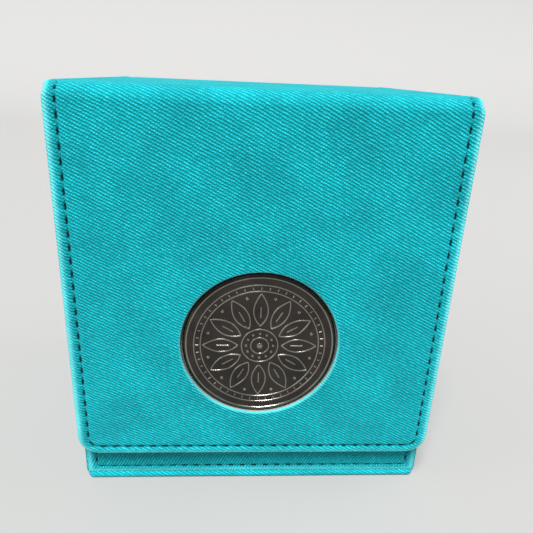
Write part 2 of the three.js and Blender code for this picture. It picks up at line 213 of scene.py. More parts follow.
def cloth_material(name, turn=0.0):
    """Twill cloth, which reads its pattern in metres from the UV map, turned by an angle."""
    material = bpy.data.materials.new(name)
    material.use_nodes = True
    tree = material.node_tree
    tree.nodes.clear()
    pattern = add_node(tree, "ShaderNodeUVMap", uv_map="pattern")
    mapping = {"Vector": pattern.outputs["UV"], "Rotation": (0, 0, turn), "Scale": (1000, 1000, 1000)}
    place = add_node(tree, "ShaderNodeMapping", mapping).outputs["Vector"]
    twill = add_node(tree, "ShaderNodeGroup", node_tree=TWILL)
    tree.links.new(place, twill.inputs["Place"])
    wear_and_sheen = add_node(tree, "ShaderNodeAttribute", attribute_name="wear_and_sheen").outputs["Fac"]
    sunk = add_node(tree, "ShaderNodeAttribute", attribute_name="sunk").outputs["Fac"]

    # Painted shade in the twill's hollows and painted highlight on its tops, over the nap's own tone.
    body = mix_colours(tree, spread(tree, twill.outputs["Nap And Relief Light"], 0.0, 0.8), CLOTH_VALLEY_SHADE, CLOTH_COLOUR)
    top_highlight = spread(tree, twill.outputs["Nap And Relief Light"], 0.62, 1.25, 0.0, 0.6)
    lit = mix_colours(tree, top_highlight, body, CLOTH_TOP_HIGHLIGHT)
    # Paler along the edges: partly wear on the nap, partly painted sheen.
    lit = mix_colours(tree, maths(tree, "MULTIPLY", wear_and_sheen, 0.55), lit, CLOTH_WEAR_AND_SHEEN)
    shade = spread(tree, twill.outputs["Mottle"], 0.3, 0.7, 0.84, 1.08)
    # Where the cloth is sunk in a stitch slot it is darkened, down to a twentieth: painted shade.
    shade = maths(tree, "MULTIPLY", shade, spread(tree, sunk, 0.0, 1.0, 1.0, 0.05))
    tone = add_node(tree, "ShaderNodeVectorMath", {0: lit, "Scale": shade}, operation="SCALE").outputs[0]
    height = twill.outputs["Height"]
    relief = add_node(tree, "ShaderNodeBump", {"Strength": 1.0, "Distance": 0.00019, "Height": height})
    finish = add_node(
        tree,
        "ShaderNodeBsdfPrincipled",
        {
            "Base Color": tone,
            "Roughness": 0.8,
            "Specular IOR Level": 0.1,
            "Sheen Weight": 0.12,
            "Sheen Roughness": 0.4,
            "Sheen Tint": (0.35, 0.95, 1.0, 1),
            "Normal": relief.outputs["Normal"],
        },
    )
    output = add_node(tree, "ShaderNodeOutputMaterial")
    tree.links.new(finish.outputs["BSDF"], output.inputs["Surface"])
    return material


def apply_modifiers(piece):
    """Makes the evaluated shape the piece's own mesh, and takes its modifiers off."""
    depsgraph = bpy.context.evaluated_depsgraph_get()
    evaluated = piece.evaluated_get(depsgraph)
    made = bpy.data.meshes.new_from_object(evaluated, preserve_all_data_layers=True, depsgraph=depsgraph)
    made.name = piece.name
    piece.modifiers.clear()
    piece.data = made


class Pattern:
    """A cloth piece as it lies flat: its points (x, s, h), where each lies on the cloth, its marks and its
    faces. The marks say how far a point is painted paler, partly for wear on the nap and partly as painted
    sheen, and how far it is painted dark as shade where it is sunk in a stitch hole."""

    def __init__(self):
        self.points, self.flat, self.marks, self.faces = [], [], [], []
        self.count = 0

    def add(self, points, flat=None, marks=None):
        """Adds a row of points and returns their numbers."""
        points = np.asarray(points, float)
        self.points.append(points)
        self.flat.append(points[:, :2] if flat is None else flat)
        self.marks.append(np.zeros((len(points), 2)) if marks is None else marks)
        self.count += len(points)
        return np.arange(self.count - len(points), self.count)

    def add_line(self, places, s, h=0.0, flat_s=None, edge_wear_and_sheen=0.0):
        """Adds points at some places along a line across the cloth, and returns their numbers."""
        points = np.column_stack([places, 0 * places + s, 0 * places + h])
        flat = np.column_stack([places, 0 * places + (s if flat_s is None else flat_s)])
        return self.add(points, flat, np.tile((edge_wear_and_sheen, 0.0), (len(places), 1)))

    def join_all(self, rows, closed=False):
        """Joins each row to the next."""
        for outer, inner in zip(rows, rows[1:]):
            self.join(outer, inner, closed)

    def join(self, outer, inner, closed=False):
        """Joins two rows with the same number of points. The inner one is on the left of their way."""
        sides = np.column_stack([outer, np.roll(outer, -1), np.roll(inner, -1), inner])
        self.faces += (sides if closed else sides[:-1]).tolist()

    def zip_rows(self, outer, inner, closed=False):
        """Joins two rows with different numbers of points, always over the shorter diagonal."""
        where = np.vstack(self.points)[:, :2]
        outer, inner = list(outer), list(inner)
        if closed:
            nearest = int(np.argmin(np.linalg.norm(where[inner] - where[outer[0]], axis=1)))
            inner = inner[nearest:] + inner[:nearest]
            outer.append(outer[0])
            inner.append(inner[0])
        i = j = 0
        while i < len(outer) - 1 or j < len(inner) - 1:
            ahead = back = np.inf
            if i < len(outer) - 1:
                ahead = np.linalg.norm(where[outer[i + 1]] - where[inner[j]])
            if j < len(inner) - 1:
                back = np.linalg.norm(where[outer[i]] - where[inner[j + 1]])
            if ahead <= back:
                self.faces.append([outer[i], outer[i + 1], inner[j]])
                i += 1
            else:
                self.faces.append([outer[i], inner[j + 1], inner[j]])
                j += 1

    def make(self, name, fold_up, material, thickness=0.0, lay_flat=None):
        """The piece as an object, folded up, with its flat place as a UV map and its marks as attributes."""
        points, flat, marks = (np.vstack(rows) for rows in (self.points, self.flat, self.marks))
        if lay_flat:
            flat = lay_flat(flat)
        mesh = bpy.data.meshes.new(name)
        mesh.from_pydata(fold_up(points).tolist(), [], self.faces)
        corners = np.zeros(len(mesh.loops), int)
        mesh.loops.foreach_get("vertex_index", corners)
        mesh.uv_layers.new(name="pattern").data.foreach_set("uv", (flat[corners] / 1000).ravel())
        for column, mark in enumerate(("wear_and_sheen", "sunk")):
            mesh.attributes.new(mark, "FLOAT", "POINT").data.foreach_set("value", marks[:, column].copy())
        mesh.materials.append(material)
        piece = new_object(name, mesh)
        weld = piece.modifiers.new("weld", "WELD")
        weld.merge_threshold = 2e-6
        if thickness:
            solidify = piece.modifiers.new("thickness", "SOLIDIFY")
            solidify.thickness = thickness / 1000
            solidify.offset = -1
        apply_modifiers(piece)
        piece.data.polygons.foreach_set("use_smooth", [True] * len(piece.data.polygons))
        piece.data.set_sharp_from_angle(angle=math.radians(50))
        return piece


STEP = 0.36
COARSE = 3.0
STITCH_BEND = 0.8
EDGE_ROUND = 0.85


def outline(half, low, high, corner, counts, closed):
    """A panel's outline seen from its face: down the left side, along the low end and up the right side. A
    closed one goes on along the high end. The counts are the steps in a side, a corner and an end."""
    side, bend, end = counts
    angles = np.radians(np.linspace(180, 270, bend + 1))
    turn = corner * np.column_stack([np.cos(angles), np.sin(angles)]) + (corner - half, low + corner)
    middle = (low + high) / 2 if closed else high
    down = np.column_stack([np.full(side + 1, -half), np.linspace(middle, low + corner, side + 1)])
    across = np.column_stack([np.linspace(corner - half, half - corner, end + 1), np.full(end + 1, low)])
    mirror = (-1, 1)
    path = np.vstack([down[:-1], turn[:-1], across[:-1], (turn * mirror)[:0:-1], (down * mirror)[::-1]])
    if closed:
        path = np.vstack([path[:-1], (0, 2 * middle) - path[:-1]])
    return path


def stations(low, high, step, *through):
    """Even stations from low to high, about a step apart, which also pass through the given places."""
    stops = [low, *sorted(through), high]
    parts = [np.linspace(a, b, max(1, round((b - a) / step)) + 1)[:-1] for a, b in zip(stops, stops[1:])]
    return np.append(np.concatenate(parts), high)


def edge_profile(thickness, face, hem=1.6, outer=EDGE_ROUND, inner=0.5, proud=0.0, full=None):
    """A wrapped edge in section, from the hem's end round the edge and in over the face. Its side stands
    proud, and a fold's strip is as full as the panels that it joins.

    Rows of the inset from the edge, the height, and the inset on the unworked cloth."""
    turns = np.radians(np.linspace(0, 90, 7))
    hem_arc = [(inner - inner * math.sin(a), inner - inner * math.cos(a) - thickness) for a in turns]
    face_arc = [(outer - outer * math.cos(a), outer * math.sin(a) - outer) for a in turns]
    rows = [(hem, -thickness)] if hem > inner else []
    rows = np.array([*rows, *hem_arc, *face_arc, *((inset, 0.0) for inset in face if inset > outer)])
    fullness = np.sin(math.pi * np.clip(-rows[:, 1] / (full or thickness), 0, 1)) ** 0.5
    rows[:, 0] -= proud * fullness * (rows[:, 0] < outer)
    lengths = np.linalg.norm(np.diff(rows, axis=0), axis=1)
    on_cloth = rows[-1, 0] - np.append(np.cumsum(lengths[::-1])[::-1], 0.0)
    return np.column_stack([rows, on_cloth])


class Panel(Pattern):
    """The cloth of one panel: rows that follow its outline, and a coarse grid inside them. Where the panel
    runs on into other cloth, the relief of its stitching fades out towards its outline."""

    def __init__(self, half, low, high, corner, line=None, closed=False, step=STEP, fade=0.0):
        super().__init__()
        self.fade = fade
        self.half, self.low, self.high, self.corner, self.closed = half, low, high, corner, closed
        self.line_inset, self.end_share = (line[0], line[1] / line[0]) if line else (0.0, 1.0)
        side = (high - low) / (2 if closed else 1) / step
        self.counts = round(side), max(3, round(corner * 1.6 / step)), round(2 * half / step)
        self.stitched = line is not None
        if self.stitched:
            self.line = self.path(self.line_inset)
            self.along, _ = measured(self.line)
        self.rings = []

    def path(self, inset):
        """The outline at an inset from the panel's edge."""
        end = inset * self.end_share
        radius = max(self.corner - inset, min(STITCH_BEND, max(inset, 0)))
        high = self.high - (end if self.closed else 0)
        return outline(self.half - inset, self.low + end, high, radius, self.counts, self.closed)

    def add_edge(self, profile):
        """Adds the rows of the wrapped edge and of the face near it, with the stitches' valley."""
        for inset, height, on_cloth in profile:
            place = self.path(inset)
            # The wrapped edge is painted paler: partly wear on the nap, partly painted sheen.
            wear_and_sheen = np.full(len(place), math.exp(-(((on_cloth - 0.2) / 0.75) ** 2)))
            dip = sunk = np.zeros(len(place))
            if self.stitched and height == 0:
                off_line = np.linalg.norm(place - self.line, axis=1)
                # sunk darkens the cloth in each stitch's slot as painted shade.
                dip, sunk = stitch_relief(off_line, self.along)
                if inset < self.line_inset:
                    dip = dip - pillow(off_line, self.along)
                if self.fade:
                    to_end = (self.high - place[:, 1]) / self.fade
                    dip = dip * min(1.0, inset / self.fade) * np.clip(to_end, 0, 1)
            marks = np.column_stack([wear_and_sheen, sunk])
            rows = np.column_stack([place, height - dip])
            self.rings.append(self.add(rows, self.path(on_cloth), marks))
        self.join_all(self.rings, self.closed)

    def add_face(self, cell=COARSE, hole=None):
        """Fills the face with a coarse grid, and leaves room for a round hole: (centre, radius, depth)."""
        inside = self.points[-1][:, :2]
        margin = cell * 0.4
        free = margin if self.closed else 0
        through_x, through_s = (), ()
        if hole:
            patch = hole[1] + 2.2
            through_x, through_s = (-patch, patch), (hole[0] - patch, hole[0] + patch)
        xs = stations(inside[:, 0].min() + margin, inside[:, 0].max() - margin, cell, *through_x)
        ss = stations(inside[:, 1].min() + margin, inside[:, 1].max() - free, cell, *through_s)
        grid_x, grid_s = np.meshgrid(xs, ss)
        numbers = self.add(np.column_stack([grid_x.ravel(), grid_s.ravel(), 0 * grid_x.ravel()]))
        grid = numbers.reshape(grid_x.shape)
        for row, column in np.ndindex(len(ss) - 1, len(xs) - 1):
            middle = (xs[column] + xs[column + 1]) / 2, (ss[row] + ss[row + 1]) / 2
            if hole and abs(middle[0]) < patch and abs(middle[1] - hole[0]) < patch:
                continue
            near, far = grid[row, column : column + 2], grid[row + 1, column : column + 2]
            self.faces.append([near[0], near[1], far[1], far[0]])
        border = [grid[:0:-1, 0], grid[0, :-1], grid[:, -1]]
        if self.closed:
            border = [*border[:2], grid[:-1, -1], grid[-1, :0:-1]]
        self.zip_rows(self.rings[-1], np.concatenate(border), self.closed)
        if hole:
            left, right = (int(np.argmin(abs(xs - x))) for x in through_x)
            low, high = (int(np.argmin(abs(ss - s))) for s in through_s)
            sides = [grid[high:low:-1, left], grid[low, left:right], grid[low:high, right]]
            self.add_hole(np.concatenate([*sides, grid[high, right:left:-1]]), *hole)
        return xs

    def add_hole(self, square, centre, radius, depth, lip=0.55, count=144):
        """A round hole in the face, with the cloth rolled in over its lip."""
        around = np.radians(np.arange(0, 360, 360 / count)) + math.pi * 0.75
        circle = np.column_stack([np.cos(around), np.sin(around)])
        turns = np.radians(np.linspace(0, 90, 7))
        # The cloth rolled in over the lip is painted paler down into the hole: a painted highlight where the
        # lip catches the light.
        rims = [(radius + 1.4, 0.0, 0.0)]
        for a in turns:
            rims.append((radius + lip - lip * math.sin(a), lip * math.cos(a) - lip, 0.8 * math.sin(a)))
        rims += [(radius, -(lip + depth) / 2, 0.3), (radius, -depth, 0.0)]
        loops = []
        for r, height, edge_wear_and_sheen in rims:
            marks = np.column_stack([np.full(count, edge_wear_and_sheen), np.zeros(count)])
            place = np.column_stack([circle * r + (0, centre), np.full(count, height)])
            loops.append(self.add(place, circle * (r + height) + (0, centre), marks))
        self.zip_rows(square, loops[0], closed=True)
        self.join_all(loops, closed=True)


def lay_on(node, across, along):
    """The half width, length and thickness of a flat node, and the fold_up that lays a pattern on its face.

    The face is the one that looks along across x along. The pattern's s starts at the node's near end."""
    low, high = (corner * 1000 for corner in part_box(node))
    across, along = Vector(across), Vector(along)
    facing = across.cross(along)
    size, middle = high - low, (low + high) / 2
    width, length, thickness = (abs(size.dot(axis)) for axis in (across, along, facing))
    start = middle - along * length / 2 + facing * thickness / 2

    def fold_up(points):
        return (np.array(start) + points @ np.array([across, along, facing])) / 1000

    return width / 2, length, thickness, fold_up


SKIN = 0.5
BASE_CORNER = 0.9
base_cloth = cloth_material("base_cloth")
half, length, thickness, fold_up_base = lay_on("base_fabric", (1, 0, 0), (0, -1, 0))
base = Panel(half, 0, length, BASE_CORNER, closed=True)
base.add_edge(edge_profile(thickness, (1.3, 2.2, 4.0), hem=6.0, outer=0.4, inner=0.9, proud=0.65))
base.add_face()
base_skin = base.make("base_skin", fold_up_base, base_cloth, SKIN)
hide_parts("base_fabric")
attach(base_skin, "case")

# ---------------------------------------------------------------------------------------------------------
# Every panel and wall is cut from grey board, which is pressed from waste paper and shows its fibres. The
# tray is four upright boards and a floor board. Its front wall holds two round nickel-plated magnets.


def plain_material(name):
    """A new material with its tree, its Principled shader, and Object coordinates in millimetres."""
    material = bpy.data.materials.new(name)
    material.use_nodes = True
    tree = material.node_tree
    coordinates = add_node(tree, "ShaderNodeTexCoord").outputs["Object"]
    place = add_node(tree, "ShaderNodeMapping", {"Vector": coordinates, "Scale": (1000, 1000, 1000)})
    return material, tree, tree.nodes["Principled BSDF"], place.outputs["Vector"]


def wire(tree, shader, inputs):
    """Links sockets to a shader's inputs, and sets plain values on them."""
    for name, value in inputs.items():
        if isinstance(value, bpy.types.NodeSocket):
            tree.links.new(value, shader.inputs[name])
        else:
            shader.inputs[name].default_value = value


def bump(tree, height, distance):
    """Normals for a relief that is some millimetres deep."""
    inputs = {"Strength": 1.0, "Distance": distance / 1000, "Height": height}
    return add_node(tree, "ShaderNodeBump", inputs).outputs["Normal"]


def board_material():
    """Grey board with pressed fibres and dark flecks."""
    material, tree, shader, place = plain_material("grey_board")
    fibres = noise(tree, place, 2.4, 5.0, 0.7)
    flecks = spread(tree, noise(tree, place, 1.1, 1.0, 0.4), 0.62, 0.72, 0.0, 0.5)
    colour = mix_colours(tree, fibres, (0.19, 0.17, 0.14, 1), (0.34, 0.31, 0.26, 1))
    colour = mix_colours(tree, flecks, colour, (0.1, 0.09, 0.08, 1))
    wire(tree, shader, {"Base Color": colour, "Roughness": 0.92, "Normal": bump(tree, fibres, 0.06)})
    return material


def magnet_material():
    """Nickel plate, slightly clouded."""
    material, tree, shader, place = plain_material("nickel_plate")
    grain = noise(tree, place, 3.0, 4.0, 0.6)
    colour = mix_colours(tree, grain, (0.42, 0.43, 0.45, 1), (0.6, 0.6, 0.6, 1))
    rough = spread(tree, grain, 0.3, 0.7, 0.18, 0.34)
    wire(tree, shader, {"Base Color": colour, "Roughness": rough, "Metallic": 1.0})
    return material


def finish_nodes(material, *nodes):
    """Gives CAD nodes a material."""
    for node in nodes:
        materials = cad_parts[node].data.materials
        materials.clear()
        materials.append(material)


BOARD = board_material()
NICKEL = magnet_material()
WALLS = ("front", "rear", "left", "right")
finish_nodes(BOARD, "base_board", "tray_floor_board", *(f"tray_{wall}_board" for wall in WALLS))
finish_nodes(NICKEL, "tray_magnet_left", "tray_magnet_right")

# ---------------------------------------------------------------------------------------------------------
# The lining is a charcoal microfibre with a short, brushed pile, glued to the inner faces. In the tray it
# is five sheets: one on the floor and one on each wall.


def pile_group():
    """Height and tone of a short brushed pile, at a place on the cloth in millimetres."""
    group, given, result = shader_group(
        "brushed_pile",
        [("Place", "NodeSocketVector", None), ("Stroke", "NodeSocketFloat", 3.0)],
        ["Height", "Tone"],
    )
    place = given.outputs["Place"]
    stroke = add_node(group, "ShaderNodeCombineXYZ", {"X": 1.0, "Y": given.outputs["Stroke"], "Z": 1.0})
    brushed = add_node(
        group, "ShaderNodeVectorMath", {0: place, 1: stroke.outputs["Vector"]}, operation="MULTIPLY"
    )
    hairs = noise(group, brushed.outputs["Vector"], 1.6, 4.0, 0.7)
    fuzz = noise(group, place, 7.0, 2.0, 0.6)
    patches = noise(group, place, 0.06, 3.0, 0.5)
    height = maths(group, "ADD", hairs, maths(group, "MULTIPLY", fuzz, 0.6))
    tone = maths(group, "ADD", maths(group, "MULTIPLY", patches, 0.6), maths(group, "MULTIPLY", hairs, 0.4))
    group.links.new(height, result.inputs["Height"])
    group.links.new(tone, result.inputs["Tone"])
    return group


PILE = pile_group()


def lining_material():
    """The charcoal lining, which reads its pattern from the UV map."""
    material, tree, shader, _ = plain_material("charcoal_lining")
    pattern = add_node(tree, "ShaderNodeUVMap", uv_map="pattern").outputs["UV"]
    place = add_node(tree, "ShaderNodeMapping", {"Vector": pattern, "Scale": (1000, 1000, 1000)})
    pile = add_node(tree, "ShaderNodeGroup", node_tree=PILE)
    tree.links.new(place.outputs["Vector"], pile.inputs["Place"])
    tone = spread(tree, pile.outputs["Tone"], 0.3, 0.7)
    colour = mix_colours(tree, tone, (0.022, 0.024, 0.027, 1), (0.062, 0.067, 0.073, 1))
    look = {"Base Color": colour, "Roughness": 0.9, "Sheen Weight": 0.35, "Sheen Roughness": 0.5}
    wire(tree, shader, {**look, "Normal": bump(tree, pile.outputs["Height"], 0.1)})
    return material


LINING = lining_material()


SHEET_STEP = 2.0
SHEET_CELL = 6.0


def line_face(name, node, across, along, body):
    """A lining sheet with soft edges, in place of its flat node."""
    half, length, thickness, fold_up = lay_on(node, across, along)
    sheet = Panel(half, 0, length, 0.6, closed=True, step=SHEET_STEP)
    round_over = thickness * 0.45
    sheet.add_edge(edge_profile(thickness, (0.8, 2.0), 2.5, round_over, round_over))
    sheet.add_face(SHEET_CELL)
    piece = sheet.make(name, fold_up, LINING, thickness * 0.8)
    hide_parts(node)
    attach(piece, body)


UP = (0, 0, 1)
line_face("tray_floor_sheet", "tray_floor_lining", (1, 0, 0), (0, 1, 0), "case")
INWARD = {"front": (-1, 0, 0), "rear": (1, 0, 0), "left": (0, 1, 0), "right": (0, -1, 0)}
for wall in WALLS:
    line_face(f"tray_{wall}_sheet", f"tray_{wall}_lining", INWARD[wall], UP, "case")

# ---------------------------------------------------------------------------------------------------------
# The tray's cloth is wrapped round its four walls, turned under the floor and turned down inside the rim.
# Its front wall is stitched. The stitching pulls the cloth into a valley, with a slot where the thread goes
# down, and the cloth in each slot is painted dark as shade.

STITCH_PITCH = 3.2
THREAD = 0.4
THREAD_DEPTH = 0.36
HALF_SLOT = 0.85
VALLEY_DEPTH = 0.2
SLOT_DEPTH = 0.12


def measured(line):
    """How far along a stitch line each point is, in stitches, and the whole number of stitches on it."""
    along = np.append(0.0, np.cumsum(np.linalg.norm(np.diff(line, axis=0), axis=1)))
    count = round(along[-1] / STITCH_PITCH)
    return along * count / along[-1], count


def stitch_relief(off_line, along):
    """How far the cloth is pulled down at a distance from the stitch line, and how much painted shade
    darkens it in the stitch's slot.
    """
    from_slot = np.abs(along - np.round(along)) * STITCH_PITCH
    slot = np.exp(-((from_slot / HALF_SLOT) ** 4)) * np.exp(-((off_line / 0.3) ** 2))
    valley = VALLEY_DEPTH * (np.exp(-((off_line / 0.55) ** 2)) + np.exp(-((off_line / 0.26) ** 2)))
    pulled = 0.07 * (0.5 + 0.5 * np.cos(2 * math.pi * along)) * np.exp(-off_line / 0.8)
    return valley + pulled + SLOT_DEPTH * slot, np.clip(slot * 1.3, 0, 1)


def pillow(off_line, along):
    """How far the cloth swells between an edge and its stitch line, most beside each stitch."""
    swell = 0.13 - 0.05 * np.cos(2 * math.pi * along)
    return swell * np.exp(-(((off_line - 1.0) / 0.45) ** 2))


def thread_material():
    """Dull two-ply thread."""
    material, tree, shader, place = plain_material("turquoise_thread")
    ply = add_node(tree, "ShaderNodeTexWave", {"Vector": place, "Scale": 0.9, "Distortion": 0.6})
    ply.bands_direction = "DIAGONAL"
    fibre = noise(tree, place, 5.0, 3.0, 0.6)
    shade = maths(tree, "MULTIPLY", ply.outputs["Fac"], fibre)
    colour = mix_colours(tree, shade, (0.002, 0.15, 0.18, 1), (0.012, 0.42, 0.47, 1))
    look = {"Base Color": colour, "Roughness": 0.75, "Specular IOR Level": 0.12}
    wire(tree, shader, {**look, "Normal": bump(tree, ply.outputs["Fac"], 0.03)})
    return material


THREAD_FINISH = thread_material()


def geometry_group(name, geometry_in, values, geometry_out):
    """An empty geometry node group with its sockets, and the outputs of its input node."""
    tree = bpy.data.node_groups.new(name, "GeometryNodeTree")
    tree.interface.new_socket(geometry_in, in_out="INPUT", socket_type="NodeSocketGeometry")
    kinds = {int: "NodeSocketInt", float: "NodeSocketFloat"}
    for socket, value in values.items():
        made = tree.interface.new_socket(socket, in_out="INPUT", socket_type=kinds[type(value)])
        made.default_value = value
    tree.interface.new_socket("Finish", in_out="INPUT", socket_type="NodeSocketMaterial")
    tree.interface.new_socket(geometry_out, in_out="OUTPUT", socket_type="NodeSocketGeometry")
    return tree, tree.nodes.new("NodeGroupInput").outputs


def grow(piece, tree, **inputs):
    """Runs a geometry node group on a piece, and makes the result the piece's own mesh."""
    modifier = piece.modifiers.new(tree.name, "NODES")
    modifier.node_group = tree
    sockets = {s.name: s.identifier for s in tree.interface.items_tree if s.in_out == "INPUT"}
    for name, value in inputs.items():
        modifier[sockets[name]] = value
    apply_modifiers(piece)


def fold_mesh(mesh, fold_up, offset=(0, 0, 0)):
    """Folds a flat mesh up, and shades it smooth."""
    points = np.zeros(len(mesh.vertices) * 3)
    mesh.vertices.foreach_get("co", points)
    mesh.vertices.foreach_set("co", fold_up(points.reshape(-1, 3) + offset).ravel())
    mesh.polygons.foreach_set("use_smooth", [True] * len(mesh.polygons))
    mesh.update()


def stitches_tree():
    """Stitches along a line: bowed lengths of two-ply thread, each a little different from the next."""
    values = {"Count": 10, "Length": 1.9, "Thread": THREAD, "Bow": 0.42, "Slant": 0.1}
    tree, given = geometry_group("stitches", "Line", values, "Stitches")
    line = add_node(tree, "GeometryNodeMeshToCurve", {"Mesh": given["Line"]}).outputs["Curve"]
    line = {"Curve": line, "Count": given["Count"]}
    line = add_node(tree, "GeometryNodeResampleCurve", line, mode="COUNT")
    half_length = maths(tree, "MULTIPLY", given["Length"], 0.5)
    back = maths(tree, "MULTIPLY", half_length, -1.0)
    down = maths(tree, "MULTIPLY", given["Bow"], -1.0)
    start = add_node(tree, "ShaderNodeCombineXYZ", {"X": back, "Z": down}).outputs["Vector"]
    middle = add_node(tree, "ShaderNodeCombineXYZ", {"Z": given["Bow"]}).outputs["Vector"]
    end = add_node(tree, "ShaderNodeCombineXYZ", {"X": half_length, "Z": down}).outputs["Vector"]
    bow = {"Resolution": 7, "Start": start, "Middle": middle, "End": end}
    bow = add_node(tree, "GeometryNodeCurveQuadraticBezier", bow).outputs["Curve"]
    share = add_node(tree, "GeometryNodeSplineParameter").outputs["Factor"]
    twist = maths(tree, "MULTIPLY", share, 1.5 * math.pi)
    bow = add_node(tree, "GeometryNodeSetCurveTilt", {"Curve": bow, "Tilt": twist}).outputs["Curve"]
    radius = maths(tree, "MULTIPLY", given["Thread"], 0.5)
    section = add_node(tree, "GeometryNodeCurvePrimitiveCircle", {"Resolution": 6, "Radius": radius})
    flatten = {"Geometry": section.outputs["Curve"], "Scale": (1.1, 0.8, 1.0)}
    section = add_node(tree, "GeometryNodeTransform", flatten).outputs["Geometry"]
    thread = {"Curve": bow, "Profile Curve": section, "Fill Caps": True}
    thread = add_node(tree, "GeometryNodeCurveToMesh", thread).outputs["Mesh"]
    tangent = add_node(tree, "GeometryNodeInputTangent").outputs["Tangent"]
    turned = {"axis": "X", "pivot_axis": "Z"}
    way = add_node(tree, "FunctionNodeAlignRotationToVector", {"Vector": tangent}, **turned)
    wobble = add_node(tree, "FunctionNodeRandomValue", data_type="FLOAT")
    wobble.inputs["Seed"].default_value = 7
    least, most = (s for s in wobble.inputs if s.enabled and s.name in ("Min", "Max"))
    least.default_value, most.default_value = -0.09, 0.09
    wobble = next(s for s in wobble.outputs if s.enabled)
    slant = maths(tree, "ADD", given["Slant"], wobble)
    turn = add_node(tree, "FunctionNodeAxisAngleToRotation", {"Axis": (0, 0, 1), "Angle": slant})
    way = add_node(
        tree,
        "FunctionNodeRotateRotation",
        {"Rotation": way.outputs["Rotation"], "Rotate By": turn.outputs["Rotation"]},
        rotation_space="LOCAL",
    )
    size = maths(tree, "ADD", 1.0, wobble)
    placed = {"Points": line.outputs["Curve"], "Instance": thread, "Rotation": way.outputs["Rotation"]}
    placed = add_node(tree, "GeometryNodeInstanceOnPoints", {**placed, "Scale": size})
    real = add_node(tree, "GeometryNodeRealizeInstances", {"Geometry": placed.outputs["Instances"]})
    made = {"Geometry": real.outputs["Geometry"], "Material": given["Finish"]}
    made = add_node(tree, "GeometryNodeSetMaterial", made).outputs["Geometry"]
    tree.links.new(made, tree.nodes.new("NodeGroupOutput").inputs["Stitches"])
    return tree


STITCHES = stitches_tree()


def sew(name, line, fold_up, node, body=None):
    """One row of stitches along a line on the pattern, in place of its node's plain thread."""
    along, count = measured(line)
    places = np.linspace(0.5, count - 0.5, (count - 1) * 6 + 1)
    points = [np.interp(places, along, column) for column in line.T] + [0 * places - THREAD_DEPTH]
    points = np.column_stack(points)
    mesh = bpy.data.meshes.new(name)
    mesh.from_pydata(points.tolist(), [(i, i + 1) for i in range(len(points) - 1)], [])
    piece = new_object(name, mesh)
    grow(piece, STITCHES, Count=count, Finish=THREAD_FINISH)
    fold_mesh(piece.data, fold_up)
    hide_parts(node)
    if body:
        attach(piece, body)
    return piece


TRAY_LOW, TRAY_HIGH = (corner * 1000 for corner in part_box("tray_fabric"))
TRAY_LOW.z = 1.25  # the cloth laps down over the base panel's rounded edge
BASE_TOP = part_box("base_fabric")[1].z * 1000 + 0.02
TRAY_CORNER = 0.7
TRAY_PROUD = 0.7
TRAY_FOOT = 0.7
TRAY_RIM_OUTER, TRAY_RIM_INNER = 1.2, 1.0
TRAY_WALL = 3.3
TRAY_HEM = 7.0
TRAY_HALF = TRAY_HIGH.x + TRAY_PROUD
TRAY_FLAT = TRAY_HALF - TRAY_CORNER
TRAY_DEEP = TRAY_HIGH.y - TRAY_LOW.y
CORNER_LENGTH = TRAY_CORNER * math.pi / 2
SIDE_LENGTH = TRAY_DEEP - 2 * TRAY_CORNER
TRAY_LAPS = [2 * TRAY_FLAT, CORNER_LENGTH, SIDE_LENGTH, CORNER_LENGTH] * 2


def fold_up_tray(points):
    """Tray pattern to the box: x runs round the walls from the middle of the front, and s is the height.
    Inside the corners the cloth ends at the walls' inner faces."""
    x, s, h = points.T
    middle_y = (TRAY_LOW.y + TRAY_HIGH.y) / 2
    place_x, place_y = np.zeros(len(x)), np.zeros(len(x))
    lap = (x + TRAY_FLAT) % sum(TRAY_LAPS)
    begin = 0.0
    for number, length in enumerate(TRAY_LAPS):
        here = (lap >= begin) & (lap <= begin + length)
        way = number // 2 * math.pi / 2
        near = (TRAY_DEEP / 2, TRAY_HALF)[number // 2 % 2]
        reach = (TRAY_FLAT, TRAY_DEEP / 2 - TRAY_CORNER)[number // 2 % 2]
        sunk = np.minimum(-h[here], TRAY_CORNER)
        if number % 2:
            angle = (lap[here] - begin) / TRAY_CORNER
            along = reach + (TRAY_CORNER - sunk) * np.sin(angle)
            out = near - TRAY_CORNER + (TRAY_CORNER - sunk) * np.cos(angle)
        else:
            along = lap[here] - begin - reach
            out = near - sunk
        place_x[here] = along * math.cos(way) + out * math.sin(way)
        place_y[here] = along * math.sin(way) - out * math.cos(way)
        begin += length
    half_x, half_y = TRAY_HALF + h * (1 + TRAY_PROUD / TRAY_WALL), TRAY_DEEP / 2 + h
    place_x, place_y = np.clip(place_x, -half_x, half_x), np.clip(place_y, -half_y, half_y)
    return np.column_stack([place_x, place_y + middle_y, s]) / 1000


WALL_LOW, WALL_HIGH = TRAY_LOW.z + TRAY_FOOT, TRAY_HIGH.z - TRAY_RIM_OUTER
TRAY_SIDE_INSET, TRAY_END_INSET = 2.3, 1.4
tray = Panel(TRAY_FLAT, WALL_LOW, WALL_HIGH, 0.0, (TRAY_SIDE_INSET, TRAY_END_INSET), fade=0.6)
tray_rows = (0.0, 0.6, 1.1, 1.5, 1.75, 1.95, 2.08, 2.19, 2.3, 2.41, 2.52, 2.65, 2.85, 3.1, 3.5, 4.2)
tray.add_edge(np.array([(inset, 0.0, inset) for inset in tray_rows]))
tray.add_face()

